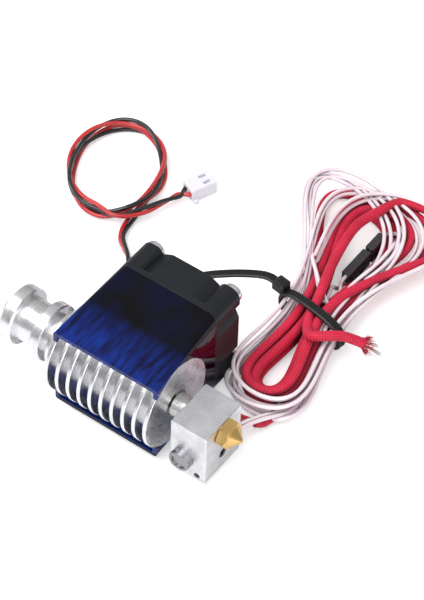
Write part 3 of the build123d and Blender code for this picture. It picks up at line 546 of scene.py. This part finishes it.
lead_loops = [
    (2.00, 2.4, 1.2, -12, -12.4, -13.6, -9.0),
    (2.25, 2.9, 1.9, -8, -11.0, -12.6, -8.4),
    (2.50, 2.2, 1.6, 0, -9.4, -9.0, -9.3),
    (2.00, 1.9, 2.6, 9, -8.6, -8.4, -8.2),
]
bead_low, bead_high = (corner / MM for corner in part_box("thermistor_bead"))
plug_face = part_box("thermistor_plug")
connector_x = (plug_face[0].x + plug_face[1].x) / 2 / MM
connector_y = plug_face[0].y / MM
connector_z = (plug_face[0].z + plug_face[1].z) / 2 / MM
middle = skein_loops(lead_loops, 0.10, 3.70)
lead_paths = []
for sign in (-1, 1):
    start_x = (bead_low.x + bead_high.x) / 2 + sign * 0.6
    line = [(start_x, bead_high.y + 0.1, (bead_low.z + bead_high.z) / 2),
            (start_x + 0.1, bead_high.y + 2.4, -11.0), (64.9 + sign * 0.6, 15.4, -10.2)]
    route = smooth(middle, 2.0)
    turn_side = frames(route)[1]
    gap = 0.62 + 0.55 * np.sin(np.linspace(0, 27, len(route)))[:, None] ** 2
    line += [tuple(p) for p in route + sign * gap * turn_side]
    line += [(57.4 + sign * 0.9, 56.0, -8.2), (56.2 + sign * 1.3, 62.6, -9.8),
             (connector_x + sign * 0.3, connector_y - 2.6, connector_z + sign * PIN_OFFSET),
             (connector_x, connector_y + 0.8, connector_z + sign * PIN_OFFSET)]
    lead_paths.append(smooth(line, 0.7))
leads = tube("sensor_leads", lead_paths, LEAD, white_wire, 12)
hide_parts("thermistor_leads")

# Short leads from the mating plug, curling back towards the tie
mate_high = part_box("thermistor_mating_plug")[1] / MM
mate_paths = []
for sign in (-1, 1):
    mate_z = connector_z + sign * PIN_OFFSET
    mate_paths.append(smooth([
        (connector_x, mate_high.y - 1.0, mate_z), (connector_x + 0.3, mate_high.y + 1.6, mate_z),
        (58.0 + sign * 0.5, mate_high.y + 2.6, mate_z + 0.8), (61.0 + sign * 0.8, 84.0, -8.4),
        (61.6 + sign * 0.9, 76.0, -7.8), (60.4 + sign * 0.8, 66.0, -7.9), (60.6 + sign * 0.6, 57.0, -7.9),
        (61.6 + sign * 0.6, 50.0, -7.7), (62.8 + sign * 0.6, 45.0, -8.2),
    ], 0.7))
mate_leads = tube("mate_leads", mate_paths, LEAD, white_wire, 12)

# Heater wires between cartridge and sleeve
heater_low, heater_high = (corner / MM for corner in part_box("heater_cartridge"))
heater_x, heater_z = (heater_low.x + heater_high.x) / 2, (heater_low.z + heater_high.z) / 2
heater_paths = []
for sign in (-1, 1):
    heater_paths.append(smooth([
        (heater_x + sign * 1.0, heater_high.y - 1.2, heater_z),
        (heater_x + sign * 1.0 + 0.1, heater_high.y + 0.9, heater_z - 0.3),
        (61.2 + sign * 0.7, 13.6 - sign * 0.5, -11.2), (63.6 + sign * 0.45, 15.4 - sign * 0.3, -12.45),
    ], 0.4))
heater_wires = tube("heater_wires", heater_paths, HEATER_WIRE, red_wire, 12)
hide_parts("heater_leads")

# Bare tinned strands and the frayed end of the sleeve
tip = sleeve_path[-1]
ahead = sleeve_path[-1] - sleeve_path[-6]
ahead /= np.linalg.norm(ahead)
across = np.cross(ahead, (0, 0, 1))
across /= np.linalg.norm(across)
upward = np.cross(across, ahead)
strand_paths = []
for bundle, spread_out in ((-1, 0.9), (1, 1.3)):
    for strand in range(7):
        turn = 2 * math.pi * strand / 7
        ring = 0.0 if strand == 0 else 0.24
        aside = across * (bundle * 0.5 + ring * math.cos(turn))
        base = tip - ahead * 1.5 + aside + upward * ring * math.sin(turn)
        reach = 6.0 + 1.6 * random.random()
        drift = across * (bundle * spread_out + random.normal(0, 0.16))
        drift = drift + upward * (random.normal(0, 0.16) - 0.3)
        strand_paths.append(smooth([base, base + ahead * (reach * 0.5) + drift * 0.35,
                                    base + ahead * reach + drift], 0.5))
strands = tube("bare_strands", strand_paths, STRAND, tinned, 6)
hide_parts("heater_lead_ends")

fibre_paths = []
for fibre in range(110):
    turn = 2 * math.pi * random.random()
    out = across * math.cos(turn) + upward * math.sin(turn)
    base = tip - ahead * 0.6 + out * (SLEEVE * 0.92)
    reach = 1.2 + 2.2 * random.random()
    flare = out * (0.3 + 1.3 * random.random()) + random.normal(0, 0.3, 3)
    halfway = base + ahead * reach * 0.5 + flare * 0.35
    fibre_paths.append(smooth([base, halfway, base + ahead * reach + flare], 0.5))
fibres = tube("frayed_fibres", fibre_paths, FIBRE, sleeve_fabric, 5)

# ---------------------------------------------------------------- cable tie
tilt = math.radians(-9.0)
TIE_ALONG = np.array((math.cos(tilt), math.sin(tilt), 0))
TIE_ACROSS = np.array((-math.sin(tilt), math.cos(tilt), 0))
TIE_HALF = 10.6
TIE_WIDTH = 2.5
TOOTH_HEIGHT = 0.22
TOOTH_STEPS = 4
CHANNEL_DEPTH = 0.25
STRAP_STEP = 0.28
strap_low, strap_high = BENCH + 0.55, -6.95 + SLEEVE + 0.6


def strap(path, outward, width_way, thick, closed=False):
    """Flat strap along a path, with a toothed channel down its outer face."""
    count = len(path)
    half, t = TIE_WIDTH / 2, thick / 2
    outline = [
        (-half, -t * 0.6), (-half * 0.85, -t), (half * 0.85, -t), (half, -t * 0.6), (half, t * 0.6),
        (half * 0.72, t), (half * 0.66, t), (-half * 0.66, t), (-half * 0.72, t), (-half, t * 0.6),
    ]
    channel = (6, 7)
    vertices = []
    for i in range(count):
        tooth = TOOTH_HEIGHT * (i % TOOTH_STEPS) / (TOOTH_STEPS - 1)
        for j, (w, h) in enumerate(outline):
            height = h - CHANNEL_DEPTH + tooth if j in channel else h
            vertices.append(path[i] + width_way[i] * w + outward[i] * height)
    size = len(outline)
    faces = []
    for i in range(count if closed else count - 1):
        low, high = i * size, ((i + 1) % count) * size
        for j in range(size):
            k = (j + 1) % size
            faces.append((low + j, high + j, high + k, low + k))
    if not closed:
        faces.append(tuple(range(size)))
        faces.append(tuple(reversed(range((count - 1) * size, count * size))))
    return vertices, faces


def superellipse(turn, power=2.7):
    """Point of the closed band in the tie's plane."""
    c, s = math.cos(turn), math.sin(turn)
    x = TIE_HALF * math.copysign(abs(c) ** (2 / power), c)
    z = (strap_high - strap_low) / 2 * math.copysign(abs(s) ** (2 / power), s)
    return TIE_ALONG * x + np.array((WAIST[0], WAIST[1], (strap_high + strap_low) / 2 + z))


ring_points = np.array([superellipse(2 * math.pi * i / 720) for i in range(721)])
ring_run = np.concatenate([[0], np.cumsum(np.linalg.norm(np.diff(ring_points, axis=0), axis=1))])
ring_count = TOOTH_STEPS * round(ring_run[-1] / STRAP_STEP / TOOTH_STEPS)
wanted = np.linspace(0, ring_run[-1], ring_count, endpoint=False)
band = np.column_stack([np.interp(wanted, ring_run, ring_points[:, k]) for k in range(3)])
forward = np.roll(band, -1, axis=0) - np.roll(band, 1, axis=0)
forward /= np.linalg.norm(forward, axis=1)[:, None]
outward = np.cross(forward, TIE_ACROSS)
outward /= np.linalg.norm(outward, axis=1)[:, None]
if np.dot(outward[0], TIE_ALONG) < 0:
    outward = -outward
widths = np.tile(TIE_ACROSS, (ring_count, 1))
vertices, faces = strap(band, outward, widths, 1.0, closed=True)

head_at = np.array((WAIST[0], WAIST[1], 0)) - TIE_ALONG * (TIE_HALF - 0.2)
head_at[2] = strap_high - 0.4
tail_points = smooth([head_at - TIE_ALONG * 0.6, head_at + (-5.6, 0.4, 0.1), head_at + (-11.6, -2.0, -0.8),
                      head_at + (-18.6, -5.8, -2.6), head_at + (-23.6, -9.2, -4.4)], STRAP_STEP)
tail_forward, tail_side, tail_over = frames(tail_points)
up = np.cross(tail_side, tail_forward)
up[up[:, 2] < 0] *= -1
tail_vertices, tail_faces = strap(tail_points, up, tail_side, 0.9)
offset = len(vertices)
vertices += tail_vertices
faces += [tuple(offset + k for k in f) for f in tail_faces]

HEAD_SIZE = (3.9, 3.8, 3.0)
CAP_SIZE = (2.4, 2.6, 1.0)


def rounded_block(centre, ways, size, edge):
    """Block with chamfered edges: its 24 corner points and faces."""
    half = [s / 2 for s in size]
    points, index = [], {}
    for signs in [(a, b, c) for a in (-1, 1) for b in (-1, 1) for c in (-1, 1)]:
        for flush in range(3):
            local = [signs[k] * (half[k] - (0 if k == flush else edge)) for k in range(3)]
            index[signs, flush] = len(points)
            points.append(centre + sum(np.asarray(ways[k]) * local[k] for k in range(3)))
    sheets = []
    for k in range(3):
        a, b = [n for n in range(3) if n != k]
        for s in (-1, 1):
            ring = []
            for p, q in ((-1, -1), (1, -1), (1, 1), (-1, 1)):
                signs = [0, 0, 0]
                signs[k], signs[a], signs[b] = s, p, q
                ring.append(index[tuple(signs), k])
            sheets.append(tuple(ring))
    for k in range(3):
        a, b = [n for n in range(3) if n != k]
        for p in (-1, 1):
            for q in (-1, 1):
                ends = []
                for s in (-1, 1):
                    signs = [0, 0, 0]
                    signs[k], signs[a], signs[b] = s, p, q
                    ends.append(tuple(signs))
                sheets.append((index[ends[0], a], index[ends[1], a], index[ends[1], b], index[ends[0], b]))
    for signs in [(a, b, c) for a in (-1, 1) for b in (-1, 1) for c in (-1, 1)]:
        sheets.append(tuple(index[signs, k] for k in range(3)))
    return points, sheets


for shift, lift, size, edge in ((0, 0, HEAD_SIZE, 0.45), (0.2, 1.2, CAP_SIZE, 0.2)):
    centre = head_at + TIE_ALONG * (shift - 0.9) + np.array((0, 0, lift))
    points, sheets = rounded_block(centre, (TIE_ALONG, TIE_ACROSS, (0, 0, 1)), size, edge)
    offset = len(vertices)
    vertices += points
    faces += [tuple(offset + k for k in f) for f in sheets]
tie = build("tie", np.array(vertices), faces, tie_plastic, flat=True)
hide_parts("cable_tie")

# ---------------------------------------------------------------- floor, light and camera
FLOOR = 3.0
floor_mesh = bpy.data.meshes.new("floor")
corners = [(-FLOOR, -FLOOR, 0), (FLOOR, -FLOOR, 0), (FLOOR, FLOOR, 0), (-FLOOR, FLOOR, 0)]
floor_mesh.from_pydata(corners, [], [(0, 1, 2, 3)])
floor = bpy.data.objects.new("floor", floor_mesh)
floor.location.z = (BENCH - 0.05) * MM
bpy.context.scene.collection.objects.link(floor)
floor_finish = {"Roughness": 0.7, "Specular IOR Level": 0.2}
floor_material, floor_tree, floor_shader = principled("pale_floor", floor_finish)
speck = noise(floor_tree, place(floor_tree), 0.05, 2.0)
paper = shade(floor_tree, speck, (0.86, 0.86, 0.865), (0.88, 0.88, 0.88))
floor_tree.links.new(paper, floor_shader.inputs["Base Color"])
seen = add(floor_tree, "LightPath").outputs["Is Camera Ray"]
floor_shader.inputs["Emission Color"].default_value = (1, 1, 1, 1)
floor_tree.links.new(calc(floor_tree, "MULTIPLY", seen, 0.42), floor_shader.inputs["Emission Strength"])
floor_mesh.materials.append(floor_material)

world = bpy.data.worlds.new("studio")
bpy.context.scene.world = world
world.use_nodes = True
sky = world.node_tree
background = sky.nodes["Background"]
up = add(sky, "SeparateXYZ", {"Vector": add(sky, "TexCoord").outputs["Generated"]}).outputs["Z"]
tone = add(sky, "MapRange", {"Value": up, "From Min": 0.0, "From Max": 0.8, "To Min": 0.32, "To Max": 0.60})
sky.links.new(tone.outputs[0], background.inputs["Strength"])
background.inputs["Color"].default_value = (1.0, 1.0, 1.0, 1)

centre = (cad_low + cad_high) / 2


def softbox(name, direction, distance, size, power):
    """Soft area light aimed at the object's centre."""
    data = bpy.data.lights.new(name, "AREA")
    data.shape = "RECTANGLE"
    data.size, data.size_y = size
    data.energy = power
    light = bpy.data.objects.new(name, data)
    light.location = centre + Vector(direction).normalized() * distance
    light.rotation_mode = "QUATERNION"
    light.rotation_quaternion = Vector(direction).to_track_quat("Z", "Y")
    bpy.context.scene.collection.objects.link(light)


softbox("key_light", (-0.2, -0.5, 1.0), 0.5, (0.40, 0.30), 1.9)
softbox("left_light", (-1.0, -0.3, 0.5), 0.5, (0.12, 0.5), 0.7)
softbox("right_light", (0.9, -0.8, 0.35), 0.5, (0.16, 0.5), 1.0)

# Camera: target, distance and shift in millimetres, at the fitted viewing angle
CAMERA_TARGET = Vector((25.0, 0.0, 0.0))
CAMERA_DISTANCE = 600.0
CAMERA_AZIMUTH = math.radians(34.26)
CAMERA_ELEVATION = math.radians(48.48)
CAMERA_ROLL = math.radians(2.23)
CAMERA_SHIFT = (-29.22, -14.08)
CAMERA_LENS = 143.75
back = Vector((math.sin(CAMERA_AZIMUTH) * math.cos(CAMERA_ELEVATION),
               -math.cos(CAMERA_AZIMUTH) * math.cos(CAMERA_ELEVATION), math.sin(CAMERA_ELEVATION)))
right = Vector((math.cos(CAMERA_AZIMUTH), math.sin(CAMERA_AZIMUTH), 0))
upright = back.cross(right)
rolled_right = right * math.cos(CAMERA_ROLL) + upright * math.sin(CAMERA_ROLL)
rolled_up = upright * math.cos(CAMERA_ROLL) - right * math.sin(CAMERA_ROLL)
camera_data = bpy.data.cameras.new("camera")
camera_data.lens = CAMERA_LENS
camera_data.sensor_width = 36.0
camera_data.clip_start, camera_data.clip_end = 0.01, 20
camera = bpy.data.objects.new("camera", camera_data)
spot = CAMERA_TARGET + back * CAMERA_DISTANCE - rolled_right * CAMERA_SHIFT[0] - rolled_up * CAMERA_SHIFT[1]
camera.location = spot * MM
camera.rotation_mode = "QUATERNION"
axes = Matrix((rolled_right, rolled_up, back)).transposed()
camera.rotation_quaternion = axes.to_quaternion()
bpy.context.scene.collection.objects.link(camera)
bpy.context.scene.camera = camera
bpy.context.scene.view_settings.view_transform = "Standard"
